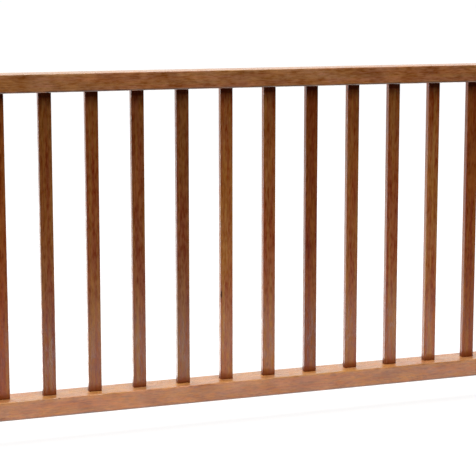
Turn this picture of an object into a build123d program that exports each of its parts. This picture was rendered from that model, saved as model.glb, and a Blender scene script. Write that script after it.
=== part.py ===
"""Slatted timber railing panel: upright slats let into a top rail and a bottom rail.

Millimetres. X runs along the panel from its left end, Y from front to back, Z up.
The origin is the centre of the bottom rail's left end face, where the panel meets its post.
"""
from build123d import *
import os

# Overall panel
panel_length = 1800.0
panel_height = 900.0

# Rails, front to back and height of each section
rail_depth = 78.0
top_rail_height = 48.0
bottom_rail_height = 50.0
rail_arris_radius = 3.0
rail_end_chamfer = 1.0

# Slats, width along the panel and thickness from front to back
slat_count = 14
slat_width = 35.0
slat_thickness = 20.0
slat_arris_radius = 3.5

# Round ended stub tenons and the mortises that take them
tenon_width = 24.0
tenon_thickness = 10.0
tenon_length = 22.0
mortise_side_clearance = 0.15
mortise_depth_clearance = 2.0

# Levels, measured from the middle of the bottom rail
bottom_rail_under = -bottom_rail_height / 2
bottom_rail_top = bottom_rail_height / 2
top_rail_top = bottom_rail_under + panel_height
top_rail_under = top_rail_top - top_rail_height
slat_length = top_rail_under - bottom_rail_top

# The gap is the same between slats and at both ends
slat_gap = (panel_length - slat_count * slat_width) / (slat_count + 1)
slat_pitch = slat_width + slat_gap
first_slat_x = slat_gap + slat_width / 2
slat_row_x = first_slat_x + slat_pitch * (slat_count - 1) / 2

mortise_width = tenon_width + 2 * mortise_side_clearance
mortise_thickness = tenon_thickness + 2 * mortise_side_clearance
mortise_depth = tenon_length + mortise_depth_clearance

os.makedirs("parts", exist_ok=True)


def save(piece, label):
    """Label a finished piece and write it to its own file."""
    piece.part.label = label
    export_step(piece.part, f"parts/{label}.step")


# Bottom rail: a plain section with a row of mortises in its top face
with BuildPart() as bottom_rail:
    with BuildSketch(Plane.YZ):
        Rectangle(rail_depth, bottom_rail_height)
    extrude(amount=panel_length)
    fillet(bottom_rail.edges().filter_by(Axis.X), rail_arris_radius)
    end_faces = bottom_rail.faces().sort_by(Axis.X)
    chamfer(end_faces[0].edges() + end_faces[-1].edges(), rail_end_chamfer)
    with BuildSketch(Plane.XY.offset(bottom_rail_top)):
        with Locations((slat_row_x, 0)):
            with GridLocations(slat_pitch, 0, slat_count, 1):
                SlotOverall(mortise_width, mortise_thickness)
    extrude(amount=-mortise_depth, mode=Mode.SUBTRACT)

save(bottom_rail, "bottom_rail")

# Top rail: the same, with its mortises cut up into its underside
with BuildPart() as top_rail:
    with BuildSketch(Plane.YZ):
        with Locations((0, top_rail_top - top_rail_height / 2)):
            Rectangle(rail_depth, top_rail_height)
    extrude(amount=panel_length)
    fillet(top_rail.edges().filter_by(Axis.X), rail_arris_radius)
    end_faces = top_rail.faces().sort_by(Axis.X)
    chamfer(end_faces[0].edges() + end_faces[-1].edges(), rail_end_chamfer)
    with BuildSketch(Plane.XY.offset(top_rail_under)):
        with Locations((slat_row_x, 0)):
            with GridLocations(slat_pitch, 0, slat_count, 1):
                SlotOverall(mortise_width, mortise_thickness)
    extrude(amount=mortise_depth, mode=Mode.SUBTRACT)

save(top_rail, "top_rail")

# Slats: rounded long arrises, square shoulders and a stub tenon at each end
for number in range(1, slat_count + 1):
    slat_x = first_slat_x + slat_pitch * (number - 1)
    with BuildPart() as slat:
        with BuildSketch(Plane.XY.offset(bottom_rail_top)):
            with Locations((slat_x, 0)):
                RectangleRounded(slat_width, slat_thickness, slat_arris_radius)
        extrude(amount=slat_length)
        with BuildSketch(Plane.XY.offset(bottom_rail_top)):
            with Locations((slat_x, 0)):
                SlotOverall(tenon_width, tenon_thickness)
        extrude(amount=-tenon_length)
        with BuildSketch(Plane.XY.offset(top_rail_under)):
            with Locations((slat_x, 0)):
                SlotOverall(tenon_width, tenon_thickness)
        extrude(amount=tenon_length)
    save(slat, f"slat_{number:02d}")
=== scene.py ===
"""Slatted timber railing panel: oiled hardwood finishes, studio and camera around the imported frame.

Metres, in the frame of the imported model: X runs along the panel, Y from front to back, Z up.
"""

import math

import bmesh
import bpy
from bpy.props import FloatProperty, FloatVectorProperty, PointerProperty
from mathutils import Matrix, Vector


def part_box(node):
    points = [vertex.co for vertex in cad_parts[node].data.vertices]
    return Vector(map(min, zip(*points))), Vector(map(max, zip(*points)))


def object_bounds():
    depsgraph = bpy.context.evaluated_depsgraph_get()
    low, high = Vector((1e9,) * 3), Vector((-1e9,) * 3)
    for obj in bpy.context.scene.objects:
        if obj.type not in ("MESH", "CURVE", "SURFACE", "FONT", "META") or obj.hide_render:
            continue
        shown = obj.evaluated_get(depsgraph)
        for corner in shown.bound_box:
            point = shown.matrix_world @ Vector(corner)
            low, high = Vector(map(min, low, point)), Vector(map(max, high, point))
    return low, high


bl_info = {
    "name": "Slatted Timber Railing",
    "version": (1, 0, 0),
    "blender": (4, 5, 0),
    "location": "View3D > Sidebar > Railing",
    "description": "Oiled hardwood finishes, studio and camera for a slatted railing panel",
    "category": "Material",
}

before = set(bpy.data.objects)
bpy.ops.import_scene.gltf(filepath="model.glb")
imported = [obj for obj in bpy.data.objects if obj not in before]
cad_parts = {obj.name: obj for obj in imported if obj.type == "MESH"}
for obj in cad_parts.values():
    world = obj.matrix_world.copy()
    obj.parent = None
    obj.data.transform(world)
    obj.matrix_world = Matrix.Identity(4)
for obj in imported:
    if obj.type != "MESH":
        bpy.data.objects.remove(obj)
CAD_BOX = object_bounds()

# Tone of each rail's sides, and of its top, which is paler with a painted sheen
RAILS = {
    "top_rail": ((0.90, 0.87, 0.80), (0.72, 0.84, 0.77)),
    "bottom_rail": ((0.86, 0.77, 0.64), (1.07, 1.19, 1.13)),
}
SLATS = sorted(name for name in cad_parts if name.startswith("slat_"))
FOOT_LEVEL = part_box("bottom_rail")[1][2]
HEAD_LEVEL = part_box("top_rail")[0][2]
SLAT_LENGTH = HEAD_LEVEL - FOOT_LEVEL

# Lightness of the slats that stand out in the row, by their number from the left
SLAT_LEVELS = {
    3: 0.78, 4: 0.86, 5: 0.80, 6: 0.72, 7: 1.17, 8: 1.01, 9: 0.82, 10: 0.98, 11: 1.04, 12: 1.21,
}

# Redder, paler and straw coloured slats, and how far their colour and gloss move
RED_SLATS = (2, 9, 13)
PALE_SLATS = (7, 12)
STRAW_SLATS = (3, 4)
RED_SHIFT = Vector((-0.08, -0.30, -0.60))
PALE_SHIFT = Vector((0.00, 0.12, 0.25))
RED_GLOSS_SHIFT = -0.2

# Share of the warm tint in a board: less of it in a red slat, more in a straw coloured one
WARM_SHARE = 0.50
WARM_SHIFT = 0.10

# Pin knots and nicks: place, half sizes and depth of tone. A mark fades out over its rim and is dull
MARKS = {
    "slat_07": [((0.8231, -0.0096, 0.2640), (0.0036, 0.0045, 0.0150), 1.00)],
    "slat_08": [((0.9557, -0.0100, 0.0570), (0.0018, 0.0030, 0.0080), 0.60)],
    "bottom_rail": [
        ((0.3690, -0.0384, 0.0234), (0.0040, 0.0030, 0.0022), 0.80),
        ((0.3612, -0.0384, 0.0238), (0.0018, 0.0022, 0.0016), 0.60),
    ],
}
MARK_RIM = (0.4, 1.0)
MARK_ROUGHNESS = 0.4

# Each board reads its noise elsewhere, by its number. The rails are numbered past the slats
FIRST_RAIL_NUMBER = 31
SEED_STEP = 7.31

# Patterns of the grain, of the painted shade along the rails' lower arrises and of the dark band at the
# slats' feet: detail of the noise, and how far off each one reads it
PATTERNS = {
    "patches": (2.0, 0.0),
    "flecks": (2.0, 11.0),
    "fibres": (3.0, 17.0),
    "wander": (2.0, 29.0),
    "tints": (3.0, 41.0),
    "pores": (1.0, 59.0),
    "ribbons": (1.0, 83.0),
    "shade_patches": (2.0, 3.0),
    "foot_wander": (2.0, 0.0),
}
RING_DETAIL = 1.0

# Weights of the patterns in the grain's lightness, its roughness and its relief
LIGHT = {"patches": 1.6, "flecks": 1.1, "ribbons": 1.2, "fibres": 1.0, "rings": 0.7}
PATCHES_LOST_TO_STRIPES = 0.6
ROUGH = {"fibres": 1.0, "flecks": 0.8, "pores": 0.12}
RELIEF = {"fibres": 0.6, "rings": 0.25, "pores": -0.8}

# The mean of a noise, and the ranges over which a noise turns one look into another
MEAN = 0.5
PORE_RANGE = (0.60, 0.72)
TINT_RANGE = (0.34, 0.66)
RIBBON_RANGE = (0.38, 0.62)
SHADE_PATCH_RANGE = (0.25, 0.50)

# Size of a tinted patch against a patch of lightness, and how far the tints bend the ribbons
TINT_WIDTH_SHARE = 0.8
TINT_LENGTH_SHARE = 1.4
TINT_IN_RIBBONS = 0.4

# How much shows of the ribbons in a board without stripes, and of the pores in any board
RIBBON_SHARE_PLAIN = 0.45
PORE_SHARE = 0.55

# The pith lies outside the board: its first place, and its steps from board to board and their number
PITH = (0.11, 0.07)
PITH_STEPS = ((0.01, 5), (-0.02, 4))

# Masks on a board: the distances from a face at which each one starts and is whole
TOP_BAND = (0.0035, 0.0005)
END_BAND = (0.0016, 0.0002)
LOW_EDGE_BAND = (0.0060, 0.0025)
SIDE_EDGE_BAND = (0.0060, 0.0020)
FRONT_BAND = (0.0035, 0.0005)
FOOT_BAND = (0.025, 0.003)
HEAD_SHADOW_BAND = (0.031, 0.008)
CORE_SHADOW_BAND = (0.019, 0.011)

# Looks of the rails' tops with their painted sheen, of the sawn ends, and of the lower arrises with their
# painted shade, and width and length of that shade's patches
SHEEN_TOP_CONTRAST = 0.55
END_DARKENING = 0.25
END_ROUGHNESS = 0.30
ARRIS_SHADE_SHARE = 0.75
SHADE_PATCH_SIZE = (0.010, 0.060)

# Looks of the darker band at the slats' feet, and how wide, long and far its upper edge wanders up from them
FOOT_SHARE = 0.90
FOOT_ROUGHNESS = 0.35
FOOT_WANDER_SIZE = (0.006, 0.010)
FOOT_WANDER_REACH = 0.016

# Looks of the slats' heads, with the top rail's shadow painted on them, more on the front, and a darker core
# of that painted shadow on the front right under the rail
HEAD_SHADOW_ALL_ROUND = 0.30
HEAD_SHADOW_IN_FRONT = 0.80
HEAD_ROUGHNESS = -0.15
CORE_SHADOW_DARKENING = 0.45
CORE_ROUGHNESS = -0.09

# Lamps: place and target from the panel's centre, then width and height
LAMPS = {
    "overhead_lamp": ((-0.6, -0.3, 8.0), (0.0, 0.0, 0.0), (4.5, 2.6)),
    "front_lamp": ((-0.1, -3.0, 4.6), (0.0, 0.0, 0.0), (2.4, 1.8)),
    "strip_lamp": ((-1.6, -0.65, -0.47), (-1.6, 0.0, -0.31), (5.0, 0.16)),
    "side_lamp": ((-2.6, 1.6, -0.15), (0.0, 0.0, 0.0), (1.5, 0.8)),
}

# Sides of the round floor, and the multiple of its bright reach by which its white has faded out
FLOOR_SIDES = 96
WHITE_FADE = 2.0

# How bright the floor looks near the panel, and the distances over which it grows to full white
FLOOR_LIGHT = 0.90
FLOOR_LIGHT_REACH = (1.8, 4.5)

# How gloss mirrors the floor: shares of the backdrop's level, and distances in front of or behind the panel
FLOOR_GLOSS = 2.2
FRONT_LOSS = 0.65
FRONT_LOSS_REACH = (0.5, 1.1)
BACK_LOSS = 1.2
BACK_LOSS_REACH = (1.5, 6.0)
BACK_GAIN = 0.8
BACK_GAIN_START = (0.0, 0.4)
BACK_GAIN_END = (0.7, 1.8)

# The world: how far back and how far up a direction points, and levels in front, behind and above
SKY_BACK = (-0.3, 0.5)
SKY_UP = (0.10, 0.26)
SKY_GLOSS_IN_FRONT = 0.04
SKY_GLOSS_BEHIND = 0.60
SKY_GLOSS_RISE = 0.55
SKY_SOFT_IN_FRONT = 0.8
SKY_SOFT_RISE = 0.5

# Sockets of Blender's Mix node for colours
MIX_FACTOR, MIX_FIRST, MIX_SECOND, MIX_RESULT = 0, 6, 7, 2
WHITE = (1.0, 1.0, 1.0)


class Socket:
    """A node's output. Arithmetic on it adds Math nodes to its tree."""

    def __init__(self, tree, link):
        self.tree = tree
        self.link = link

    def math(self, operation, first, second=0.0):
        return self.tree.node("ShaderNodeMath", {"operation": operation}, {0: first, 1: second})

    def __add__(self, other):
        return self.math("ADD", self, other)

    def __radd__(self, other):
        return self.math("ADD", other, self)

    def __sub__(self, other):
        return self.math("SUBTRACT", self, other)

    def __rsub__(self, other):
        return self.math("SUBTRACT", other, self)

    def __mul__(self, other):
        return self.math("MULTIPLY", self, other)

    def __rmul__(self, other):
        return self.math("MULTIPLY", other, self)

    def __truediv__(self, other):
        return self.math("DIVIDE", self, other)

    def __rtruediv__(self, other):
        return self.math("DIVIDE", other, self)

    def __neg__(self):
        return self.math("MULTIPLY", self, -1.0)

    def __abs__(self):
        return self.math("ABSOLUTE", self)


class Tree:
    """Adds nodes to a material's or the world's node tree."""

    def __init__(self, tree):
        self.tree = tree
        tree.nodes.clear()

    def node(self, kind, settings=None, sockets=None, output=0):
        """One node: its settings are set first, then its sockets get their values or links."""
        made = self.tree.nodes.new(kind)
        for name, value in (settings or {}).items():
            setattr(made, name, value)
        for name, value in (sockets or {}).items():
            if isinstance(value, Socket):
                self.tree.links.new(value.link, made.inputs[name])
            else:
                made.inputs[name].default_value = value
        return Socket(self, made.outputs[output]) if made.outputs else None

    def mix(self, factor, first, second, blend="MIX"):
        """The first colour where the factor is 0, the second blended over it where it is 1."""
        settings = {"data_type": "RGBA", "blend_type": blend}
        sockets = {MIX_FACTOR: factor, MIX_FIRST: first, MIX_SECOND: second}
        return self.node("ShaderNodeMix", settings, sockets, MIX_RESULT)

    def vector(self, operation, first, second):
        return self.node("ShaderNodeVectorMath", {"operation": operation}, {0: first, 1: second})

    def scaled(self, colour, factor):
        return self.node("ShaderNodeVectorMath", {"operation": "SCALE"}, {0: colour, "Scale": factor})

    def length(self, vector):
        return self.node("ShaderNodeVectorMath", {"operation": "LENGTH"}, {0: vector}, "Value")

    def split(self, vector):
        """The vector's X, Y and Z."""
        return [self.node("ShaderNodeSeparateXYZ", {}, {0: vector}, axis) for axis in range(3)]

    def step(self, value, low, high):
        """0 below low, 1 above high, smooth between."""
        sockets = {"Value": value, "From Min": low, "From Max": high}
        return self.node("ShaderNodeMapRange", {"interpolation_type": "SMOOTHSTEP"}, sockets)

    def near(self, value, face, band):
        """1 where the value is close to a face, 0 far from it, by the band's two distances."""
        start, whole = band
        return self.step(value, face - start, face - whole)

    def place(self):
        """The place on the piece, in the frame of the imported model."""
        return self.node("ShaderNodeTexCoord", output="Object")

    def streaks(self, place, across, along, detail, seed):
        """Noise drawn out along the grain, which runs along Z."""
        stretch = (1 / across, 1 / across, 1 / along)
        moved = self.vector("ADD", self.vector("MULTIPLY", place, stretch), (seed, seed, seed))
        return self.node("ShaderNodeTexNoise", {}, {"Vector": moved, "Scale": 1.0, "Detail": detail})

    def ray(self, kind):
        return self.node("ShaderNodeLightPath", output=kind)

    def glow(self, level):
        """White light of a level that may change from place to place."""
        return self.node("ShaderNodeEmission", {}, {"Color": self.scaled(WHITE, level)})


class WoodSettings(bpy.types.PropertyGroup):
    """Colours and grain sizes of the timber."""

    rail_dark: FloatVectorProperty(
        name="Rail dark", description="Darkest streaks of the rails",
        subtype="COLOR", default=(0.265, 0.074, 0.008))
    rail_pale: FloatVectorProperty(
        name="Rail pale", description="Palest streaks of the rails",
        subtype="COLOR", default=(0.585, 0.252, 0.104))
    slat_dark: FloatVectorProperty(
        name="Slat dark", description="Darkest streaks of the slats",
        subtype="COLOR", default=(0.170, 0.022, 0.000))
    slat_pale: FloatVectorProperty(
        name="Slat pale", description="Palest streaks of the slats",
        subtype="COLOR", default=(0.335, 0.113, 0.023))
    warm_tint: FloatVectorProperty(
        name="Warm tint", description="Tint of the orange patches",
        subtype="COLOR", default=(1.04, 1.00, 0.84))
    cool_tint: FloatVectorProperty(
        name="Cool tint", description="Tint of the greyer patches",
        subtype="COLOR", default=(0.96, 1.00, 1.18))
    red_tint: FloatVectorProperty(
        name="Red tint", description="Tint of the red ribbons",
        subtype="COLOR", default=(1.03, 0.92, 1.03))
    tan_tint: FloatVectorProperty(
        name="Tan tint", description="Tint of the tan ribbons",
        subtype="COLOR", default=(0.97, 1.08, 0.97))
    pore_tone: FloatVectorProperty(
        name="Pore tone", description="Oil darkened pores",
        subtype="COLOR", default=(0.120, 0.040, 0.016))
    # Painted shade along the rails' lower arrises, where they turn down away from the light
    arris_shade_tone: FloatVectorProperty(
        name="Arris line tone", description="Painted shade along the rails' lower arrises",
        subtype="COLOR", default=(0.100, 0.068, 0.055))
    foot_band_tone: FloatVectorProperty(
        name="Foot tone", description="Darker band at the slats' feet",
        subtype="COLOR", default=(0.160, 0.030, 0.000))
    # Painted shadow of the top rail on the slats' heads
    head_shadow_tone: FloatVectorProperty(
        name="Head tone", description="Painted shadow of the top rail on the slats' heads",
        subtype="COLOR", default=(0.085, 0.010, 0.000))
    mark_tone: FloatVectorProperty(
        name="Mark tone", description="Pin knots and nicks",
        subtype="COLOR", default=(0.045, 0.010, 0.000))
    rail_patch_width: FloatProperty(
        name="Rail patch width", description="Width of a rail's colour patch",
        unit="LENGTH", default=0.030)
    rail_patch_length: FloatProperty(
        name="Rail patch length", description="Length of a rail's colour patch",
        unit="LENGTH", default=0.065)
    rail_stripes: FloatProperty(
        name="Rail stripes", description="Share of long stripes in the rails' figure", default=0.3)
    slat_patch_width: FloatProperty(
        name="Slat patch width", description="Width of a slat's colour patch",
        unit="LENGTH", default=0.021)
    slat_patch_length: FloatProperty(
        name="Slat patch length", description="Length of a slat's colour patch",
        unit="LENGTH", default=0.090)
    slat_stripes: FloatProperty(
        name="Slat stripes", description="Share of long stripes in the slats' figure", default=1.0)
    fleck_width: FloatProperty(
        name="Fleck width", description="Width of a fleck in the figure",
        unit="LENGTH", default=0.0048)
    fleck_length: FloatProperty(
        name="Fleck length", description="Length of a fleck in the figure",
        unit="LENGTH", default=0.019)
    ribbon_width: FloatProperty(
        name="Ribbon width", description="Width of a ribbon of red or tan wood",
        unit="LENGTH", default=0.008)
    ribbon_length: FloatProperty(
        name="Ribbon length", description="Length of a ribbon of red or tan wood",
        unit="LENGTH", default=0.300)
    ring_spacing: FloatProperty(
        name="Ring spacing", description="Width of one growth ring",
        unit="LENGTH", default=0.0042)
    ring_wander: FloatProperty(
        name="Ring wander", description="How far the growth rings wander",
        unit="LENGTH", default=0.030)
    wander_width: FloatProperty(
        name="Wander width", description="Distance across the grain over which the rings wander",
        unit="LENGTH", default=0.060)
    wander_length: FloatProperty(
        name="Wander length", description="Distance along the grain over which the rings wander",
        unit="LENGTH", default=0.250)
    fibre_width: FloatProperty(
        name="Fibre width", description="Width of a streak of fibres",
        unit="LENGTH", default=0.0012)
    fibre_length: FloatProperty(
        name="Fibre length", description="Length of a streak of fibres",
        unit="LENGTH", default=0.036)
    pore_width: FloatProperty(
        name="Pore width", description="Width of an open pore",
        unit="LENGTH", default=0.0006)
    pore_length: FloatProperty(
        name="Pore length", description="Length of an open pore",
        unit="LENGTH", default=0.007)
    roughness: FloatProperty(
        name="Roughness", description="Roughness of the oiled face", default=0.34)
    rail_specular: FloatProperty(
        name="Rail specular", description="Strength of the oil's gloss on the rails", default=0.4)
    slat_specular: FloatProperty(
        name="Slat specular", description="Strength of the oil's gloss on the slats", default=0.25)
    relief: FloatProperty(
        name="Relief", description="Depth of the open grain",
        unit="LENGTH", default=0.00025)
    relief_strength: FloatProperty(
        name="Relief strength", description="How much of the relief shows", default=0.6)


class StageSettings(bpy.types.PropertyGroup):
    """Camera, lamps, floor and world."""

    camera_place: FloatVectorProperty(
        name="Camera place", description="Where the camera stands",
        subtype="XYZ", unit="LENGTH", default=(-0.2692, -3.5230, 1.1130))
    camera_turn: FloatProperty(
        name="Camera turn", description="Turn to the right of straight ahead",
        subtype="ANGLE", default=math.radians(17.974))
    camera_dip: FloatProperty(
        name="Camera dip", description="Tilt below the horizon",
        subtype="ANGLE", default=math.radians(7.718))
    sensor_width: FloatProperty(
        name="Sensor width", description="Width of the camera's sensor in millimetres", default=36.0)
    lens: FloatProperty(
        name="Lens", description="Focal length in millimetres", default=104.558)
    rise: FloatProperty(
        name="Lens rise", description="Vertical lens shift, in frame heights", default=-0.15)
    sight: FloatProperty(
        name="Sight", description="How far the camera sees",
        unit="LENGTH", default=500.0)
    ground_gap: FloatProperty(
        name="Ground gap", description="Height of the panel above the floor",
        unit="LENGTH", default=0.08)
    floor_radius: FloatProperty(
        name="Floor radius", description="Radius of the floor",
        unit="LENGTH", default=120.0)
    bright_floor: FloatProperty(
        name="Bright floor", description="Reach of the white floor from the panel",
        unit="LENGTH", default=0.9)
    floor_tone: FloatProperty(
        name="Floor tone", description="Share of the light that the near floor throws back", default=0.18)
    far_floor_tone: FloatProperty(
        name="Far floor tone", description="Share of the light that the far floor throws back", default=0.10)
    shadow_tone: FloatProperty(
        name="Shadow tone", description="How much of the panel's shadow shows on the floor", default=0.22)
    overhead_power: FloatProperty(
        name="Overhead power", description="Power of the lamp overhead",
        unit="POWER", default=760.0)
    front_power: FloatProperty(
        name="Front power", description="Power of the lamp at the front left",
        unit="POWER", default=137.0)
    strip_power: FloatProperty(
        name="Strip power", description="Power of the low strip lamp in front",
        unit="POWER", default=9.5)
    side_power: FloatProperty(
        name="Side power", description="Power of the low lamp at the back left",
        unit="POWER", default=36.0)
    ambient: FloatProperty(
        name="Ambient", description="Level of the soft light all round", default=0.08)
    backdrop_gloss: FloatProperty(
        name="Backdrop gloss", description="Level at which gloss mirrors the white backdrop", default=1.6)


def solid(tone):
    """A colour with full alpha, for a Mix node."""
    return (*tone, 1.0)


def new_material(name):
    """A material and its empty node tree."""
    material = bpy.data.materials.new(name)
    material.use_nodes = True
    return material, Tree(material.node_tree)


def turned_to_grain(board, box, along_x):
    """Coordinates from the board's centre, turned so that the grain runs along Z."""
    low, high = box
    centre = (Vector(low) + Vector(high)) / 2
    turn = (0.0, math.pi / 2 if along_x else 0.0, 0.0)
    sockets = {"Vector": board.place(), "Location": centre, "Rotation": turn}
    return board.node("ShaderNodeMapping", {"vector_type": "TEXTURE"}, sockets)


def pattern(board, grain, name, size, seed):
    """One pattern of the grain, of a width across it and a length along it."""
    detail, offset = PATTERNS[name]
    return board.streaks(grain, *size, detail, seed + offset)


def growth_rings(board, grain, number, seed):
    """Rings about a pith that lies well outside the board."""
    wood = bpy.context.scene.railing_wood
    wander = pattern(board, grain, "wander", (wood.wander_width, wood.wander_length), seed)
    pith = [start + step * (number % count) for start, (step, count) in zip(PITH, PITH_STEPS)]
    section = board.vector("MULTIPLY", grain, (1.0, 1.0, 0.0))
    radius = board.length(board.vector("ADD", section, (*pith, 0.0)))
    ring_place = (radius + wood.ring_wander * wander) / wood.ring_spacing
    point = board.node("ShaderNodeCombineXYZ", {}, {"X": ring_place})
    return board.node("ShaderNodeTexNoise", {}, {"Vector": point, "Scale": 1.0, "Detail": RING_DETAIL})


def hardwood(board, grain, tones, patch, number, warm_share, shade, contrast=1.0):
    """Colour, roughness and relief of planed tropical hardwood, all from the place in the board."""
    wood = bpy.context.scene.railing_wood
    seed = number * SEED_STEP
    width, length, stripes = patch
    tint_size = (width * TINT_WIDTH_SHARE, length * TINT_LENGTH_SHARE)
    patches = pattern(board, grain, "patches", (width, length), seed)
    flecks = pattern(board, grain, "flecks", (wood.fleck_width, wood.fleck_length), seed)
    tints = pattern(board, grain, "tints", tint_size, seed)
    ribbons = pattern(board, grain, "ribbons", (wood.ribbon_width, wood.ribbon_length), seed)
    fibres = pattern(board, grain, "fibres", (wood.fibre_width, wood.fibre_length), seed)
    pores = pattern(board, grain, "pores", (wood.pore_width, wood.pore_length), seed)
    pore_mask = board.step(pores, *PORE_RANGE)
    rings = growth_rings(board, grain, number, seed)

    light = (LIGHT["patches"] - PATCHES_LOST_TO_STRIPES * stripes) * (patches - MEAN)
    light = light + LIGHT["flecks"] * (flecks - MEAN) + LIGHT["ribbons"] * stripes * (ribbons - MEAN)
    light = light + LIGHT["fibres"] * (fibres - MEAN) + LIGHT["rings"] * (rings - MEAN)
    dark, pale = (solid(tone) for tone in tones)
    colour = board.vector("MULTIPLY", board.mix(MEAN + contrast * light, dark, pale), shade)

    warmth = board.step(tints + (warm_share - MEAN), *TINT_RANGE)
    tint = board.mix(warmth, solid(wood.cool_tint), solid(wood.warm_tint))
    colour = board.mix(1.0, colour, tint, "MULTIPLY")
    tan_share = board.step(ribbons + TINT_IN_RIBBONS * (tints - MEAN), *RIBBON_RANGE)
    ribbon_tint = board.mix(tan_share, solid(wood.red_tint), solid(wood.tan_tint))
    ribbon_share = RIBBON_SHARE_PLAIN + (1.0 - RIBBON_SHARE_PLAIN) * stripes
    colour = board.mix(ribbon_share, colour, ribbon_tint, "MULTIPLY")
    colour = board.mix(PORE_SHARE * pore_mask, colour, solid(wood.pore_tone))

    rough = wood.roughness + ROUGH["fibres"] * (fibres - MEAN)
    rough = rough + ROUGH["flecks"] * (flecks - MEAN) + ROUGH["pores"] * pore_mask
    height = RELIEF["fibres"] * fibres + RELIEF["rings"] * rings + RELIEF["pores"] * pore_mask
    return colour, rough, height


def marked(board, name, colour, rough):
    """The board's colour and roughness with its pin knots and nicks, which are dark and dull."""
    wood = bpy.context.scene.railing_wood
    place = board.place()
    for centre, half, depth in MARKS.get(name, ()):
        offset = board.vector("DIVIDE", board.vector("SUBTRACT", place, centre), half)
        mark = 1.0 - board.step(board.length(offset), *MARK_RIM)
        colour = board.mix(depth * mark, colour, solid(wood.mark_tone))
        rough = rough + MARK_ROUGHNESS * mark
    return colour, rough


def dress(name, material, board, colour, rough, height, specular):
    """Ends a board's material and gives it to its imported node."""
    wood = bpy.context.scene.railing_wood
    colour, rough = marked(board, name, colour, rough)
    relief = {"Height": height, "Strength": wood.relief_strength, "Distance": wood.relief}
    bump = board.node("ShaderNodeBump", {}, relief)
    sockets = {"Base Color": colour, "Roughness": rough, "Normal": bump, "Specular IOR Level": specular}
    surface = board.node("ShaderNodeBsdfPrincipled", {}, sockets)
    board.node("ShaderNodeOutputMaterial", {}, {"Surface": surface})
    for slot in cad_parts[name].material_slots:
        slot.material = material


def finish_rail(name, number):
    """One rail: paler on top with a painted sheen, dull at its sawn ends, with painted shade along its lower
    arrises.
    """
    wood = bpy.context.scene.railing_wood
    low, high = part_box(name)
    half = (Vector(high) - Vector(low)) / 2
    side_tone, sheen_top_tone = (solid(tone) for tone in RAILS[name])
    tones = (wood.rail_dark, wood.rail_pale)
    patch = (wood.rail_patch_width, wood.rail_patch_length, wood.rail_stripes)

    # Turned to the grain, X points down and Y stays across
    material, board = new_material(f"{name}_wood")
    grain = turned_to_grain(board, (low, high), True)
    down, across, along = board.split(grain)
    # Painted sheen: the top is paler than the sides, and its figure fainter
    below_top = 1.0 - board.near(-down, half.z, TOP_BAND)
    shade = board.mix(below_top, sheen_top_tone, side_tone)
    contrast = SHEEN_TOP_CONTRAST + (1.0 - SHEEN_TOP_CONTRAST) * below_top
    colour, rough, height = hardwood(board, grain, tones, patch, number, WARM_SHARE, shade, contrast)

    end = board.near(abs(along), half.x, END_BAND)
    colour = board.scaled(colour, 1.0 - END_DARKENING * end)
    # Painted shade: a dark line in patches along the lower arrises, where they turn down away from the light
    shade_patches = pattern(board, grain, "shade_patches", SHADE_PATCH_SIZE, 0.0)
    low_edge = board.near(down, half.z, LOW_EDGE_BAND)
    side_edge = board.near(abs(across), half.y, SIDE_EDGE_BAND)
    line = low_edge * side_edge * board.step(shade_patches, *SHADE_PATCH_RANGE)
    colour = board.mix(ARRIS_SHADE_SHARE * line, colour, solid(wood.arris_shade_tone))
    dress(name, material, board, colour, rough + END_ROUGHNESS * end, height, wood.rail_specular)


def finish_slat(name):
    """One slat in its own tone, darker in a band at its foot, with the top rail's shadow painted on its
    head, darkest in front under the rail.
    """
    wood = bpy.context.scene.railing_wood
    number = int(name[-2:])
    red, pale, straw = (number in group for group in (RED_SLATS, PALE_SLATS, STRAW_SLATS))
    warm_share = WARM_SHARE - WARM_SHIFT * red + WARM_SHIFT * straw
    shade = SLAT_LEVELS.get(number, 1.0) * (Vector(WHITE) + RED_SHIFT * red + PALE_SHIFT * pale)
    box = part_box(name)
    tones = (wood.slat_dark, wood.slat_pale)
    patch = (wood.slat_patch_width, wood.slat_patch_length, wood.slat_stripes)

    material, board = new_material(f"{name}_wood")
    grain = turned_to_grain(board, box, False)
    colour, rough, height = hardwood(board, grain, tones, patch, number, warm_share, shade)
    _, back, up = board.split(board.place())
    above_foot = up - FOOT_LEVEL
    front = board.near(-back, -box[0][1], FRONT_BAND)
    # A darker band at the foot, whose upper edge wanders
    foot_wander = pattern(board, grain, "foot_wander", FOOT_WANDER_SIZE, number)
    foot = board.near(FOOT_WANDER_REACH * (foot_wander - MEAN) - above_foot, 0.0, FOOT_BAND)
    colour = board.mix(FOOT_SHARE * foot, colour, solid(wood.foot_band_tone))

    # Painted shadow of the top rail on the head: a little all round, more on the front, and a darker core
    # right under the rail
    head = board.near(above_foot, SLAT_LENGTH, HEAD_SHADOW_BAND)
    core = board.near(above_foot, SLAT_LENGTH, CORE_SHADOW_BAND)
    head_shadow_share = HEAD_SHADOW_ALL_ROUND + (HEAD_SHADOW_IN_FRONT - HEAD_SHADOW_ALL_ROUND) * front
    colour = board.mix(head_shadow_share * head, colour, solid(wood.head_shadow_tone))
    colour = board.scaled(colour, 1.0 - CORE_SHADOW_DARKENING * front * core)
    rough = rough + FOOT_ROUGHNESS * foot + front * (HEAD_ROUGHNESS * head + CORE_ROUGHNESS * core)
    specular = wood.slat_specular * (1.0 + RED_GLOSS_SHIFT * red)
    dress(name, material, board, colour, rough, height, specular)


class RAILING_OT_finish_rails(bpy.types.Operator):
    """Gives both rails their oiled hardwood, with a painted sheen on their tops and painted shade along the
    lower arrises
    """
    bl_idname = "railing.finish_rails"
    bl_label = "Finish Rails"

    def execute(self, context):
        for number, name in enumerate(RAILS, FIRST_RAIL_NUMBER):
            finish_rail(name, number)
        return {"FINISHED"}


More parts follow.
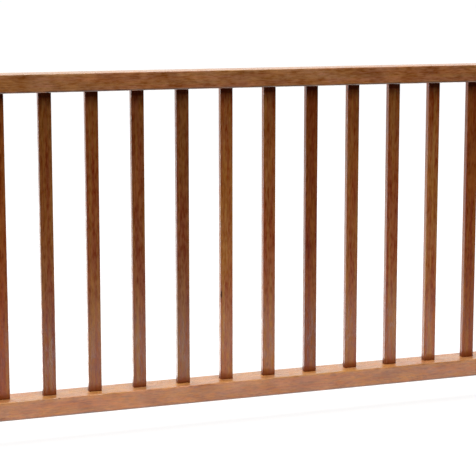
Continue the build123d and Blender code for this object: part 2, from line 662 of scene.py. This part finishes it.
class RAILING_OT_finish_slats(bpy.types.Operator):
    """Gives each slat its own tone of the hardwood, darker in a band at its foot, and with the top rail's
    shadow painted on its head
    """
    bl_idname = "railing.finish_slats"
    bl_label = "Finish Slats"

    def execute(self, context):
        for name in SLATS:
            finish_slat(name)
        return {"FINISHED"}


def add_lamp(name, place, target, size, power):
    """An area lamp that the camera doesn't see."""
    light = bpy.data.lights.new(name, "AREA")
    light.shape = "RECTANGLE"
    light.size, light.size_y = size
    light.energy = power
    lamp = bpy.data.objects.new(name, light)
    lamp.visible_camera = False
    lamp.location = place
    lamp.rotation_euler = (target - place).to_track_quat("-Z", "Y").to_euler()
    bpy.context.collection.objects.link(lamp)


def mirrored_floor(paper, back, stage):
    """The level at which gloss mirrors the floor: highest just behind the panel, lowest far behind it."""
    loss = FRONT_LOSS * paper.step(-back, *FRONT_LOSS_REACH) + BACK_LOSS * paper.step(back, *BACK_LOSS_REACH)
    just_behind = paper.step(back, *BACK_GAIN_START) * (1.0 - paper.step(back, *BACK_GAIN_END))
    return stage.backdrop_gloss * (FLOOR_GLOSS - loss + BACK_GAIN * just_behind)


def floor_paper(stage):
    """White paper: it looks white, keeps the shadow, and past its bright reach throws back less light."""
    material, paper = new_material("floor_paper")
    place = paper.place()
    _, back, _ = paper.split(place)
    reach = (stage.bright_floor, stage.bright_floor * WHITE_FADE)
    near_tone, far_tone, shadow_tone = (
        solid((tone, tone, tone)) for tone in (stage.floor_tone, stage.far_floor_tone, stage.shadow_tone))
    tone = paper.mix(paper.step(abs(back), *reach), near_tone, far_tone)
    thrown = paper.node("ShaderNodeBsdfDiffuse", {}, {"Color": tone})
    mirrored = paper.glow(mirrored_floor(paper, back, stage))
    white = (1.0 - paper.step(-back, *reach)) * paper.ray("Is Glossy Ray")
    unseen = paper.node("ShaderNodeMixShader", {}, {0: white, 1: thrown, 2: mirrored})

    shown_paper = paper.node("ShaderNodeBsdfDiffuse", {}, {"Color": shadow_tone})
    distant = paper.step(paper.length(place), *FLOOR_LIGHT_REACH)
    shown_light = paper.glow(FLOOR_LIGHT + (1.0 - FLOOR_LIGHT) * distant)
    shown = paper.node("ShaderNodeAddShader", {}, {0: shown_paper, 1: shown_light})
    is_camera = paper.ray("Is Camera Ray")
    surface = paper.node("ShaderNodeMixShader", {}, {0: is_camera, 1: unseen, 2: shown})
    paper.node("ShaderNodeOutputMaterial", {}, {"Surface": surface})
    return material


def add_floor(stage):
    """A round floor under the panel."""
    low, high = (Vector(corner) for corner in CAD_BOX)
    centre = (low + high) / 2
    mesh = bpy.data.meshes.new("floor")
    shape = bmesh.new()
    bmesh.ops.create_circle(shape, cap_ends=True, segments=FLOOR_SIDES, radius=stage.floor_radius)
    bmesh.ops.translate(shape, verts=shape.verts, vec=(centre.x, centre.y, low.z - stage.ground_gap))
    shape.to_mesh(mesh)
    shape.free()
    mesh.materials.append(floor_paper(stage))
    floor = bpy.data.objects.new("floor", mesh)
    bpy.context.collection.objects.link(floor)


def light_world(stage):
    """White behind the panel for the eye and for gloss, soft ambient light for the rest."""
    world = bpy.data.worlds.new("studio")
    world.use_nodes = True
    bpy.context.scene.world = world
    sky = Tree(world.node_tree)
    direction = sky.node("ShaderNodeTexCoord", output="Generated")
    _, back, up = sky.split(direction)
    behind = sky.step(back, *SKY_BACK)
    backdrop = stage.backdrop_gloss * behind * (SKY_GLOSS_BEHIND + SKY_GLOSS_RISE * sky.step(up, *SKY_UP))
    gloss_level = SKY_GLOSS_IN_FRONT + backdrop
    soft_level = stage.ambient * (SKY_SOFT_IN_FRONT + SKY_SOFT_RISE * behind)
    unseen = soft_level + sky.ray("Is Glossy Ray") * (gloss_level - soft_level)
    level = unseen + sky.ray("Is Camera Ray") * (1.0 - unseen)
    shade = sky.node("ShaderNodeBackground", {}, {"Color": sky.scaled(WHITE, level)})
    sky.node("ShaderNodeOutputWorld", {}, {"Surface": shade})


def add_camera(stage):
    """The camera in front and to the left of the panel, with a small vertical lens shift."""
    data = bpy.data.cameras.new("camera")
    data.sensor_width = stage.sensor_width
    data.lens = stage.lens
    data.shift_y = stage.rise
    data.clip_end = stage.sight
    camera = bpy.data.objects.new("camera", data)
    camera.location = stage.camera_place
    camera.rotation_euler = (math.pi / 2 - stage.camera_dip, 0.0, -stage.camera_turn)
    bpy.context.collection.objects.link(camera)
    bpy.context.scene.camera = camera


class RAILING_OT_set_stage(bpy.types.Operator):
    """Adds the floor, the world, the lamps and the camera"""
    bl_idname = "railing.set_stage"
    bl_label = "Set Stage"

    def execute(self, context):
        stage = context.scene.railing_stage
        low, high = (Vector(corner) for corner in CAD_BOX)
        centre = (low + high) / 2
        add_floor(stage)
        light_world(stage)
        powers = (stage.overhead_power, stage.front_power, stage.strip_power, stage.side_power)
        for power, (name, (place, target, size)) in zip(powers, LAMPS.items()):
            add_lamp(name, centre + Vector(place), centre + Vector(target), size, power)
        add_camera(stage)
        context.scene.view_settings.view_transform = "Standard"
        return {"FINISHED"}


class RAILING_PT_panel(bpy.types.Panel):
    """Lists the finishes, the stage and their settings"""
    bl_idname = "RAILING_PT_panel"
    bl_label = "Timber Railing"
    bl_space_type = "VIEW_3D"
    bl_region_type = "UI"
    bl_category = "Railing"

    def draw(self, context):
        for operator in OPERATORS:
            self.layout.operator(operator.bl_idname)
        for pointer, group in SETTINGS.items():
            settings = getattr(context.scene, pointer)
            for name in group.__annotations__:
                self.layout.prop(settings, name)


SETTINGS = {"railing_wood": WoodSettings, "railing_stage": StageSettings}
OPERATORS = (RAILING_OT_finish_rails, RAILING_OT_finish_slats, RAILING_OT_set_stage)


def register():
    for made in (*SETTINGS.values(), *OPERATORS, RAILING_PT_panel):
        bpy.utils.register_class(made)
    for pointer, group in SETTINGS.items():
        setattr(bpy.types.Scene, pointer, PointerProperty(type=group))


def unregister():
    for pointer in SETTINGS:
        delattr(bpy.types.Scene, pointer)
    for made in reversed((*SETTINGS.values(), *OPERATORS, RAILING_PT_panel)):
        bpy.utils.unregister_class(made)


def main():
    register()
    bpy.ops.railing.finish_rails()
    bpy.ops.railing.finish_slats()
    bpy.ops.railing.set_stage()


if __name__ == "__main__":
    main()
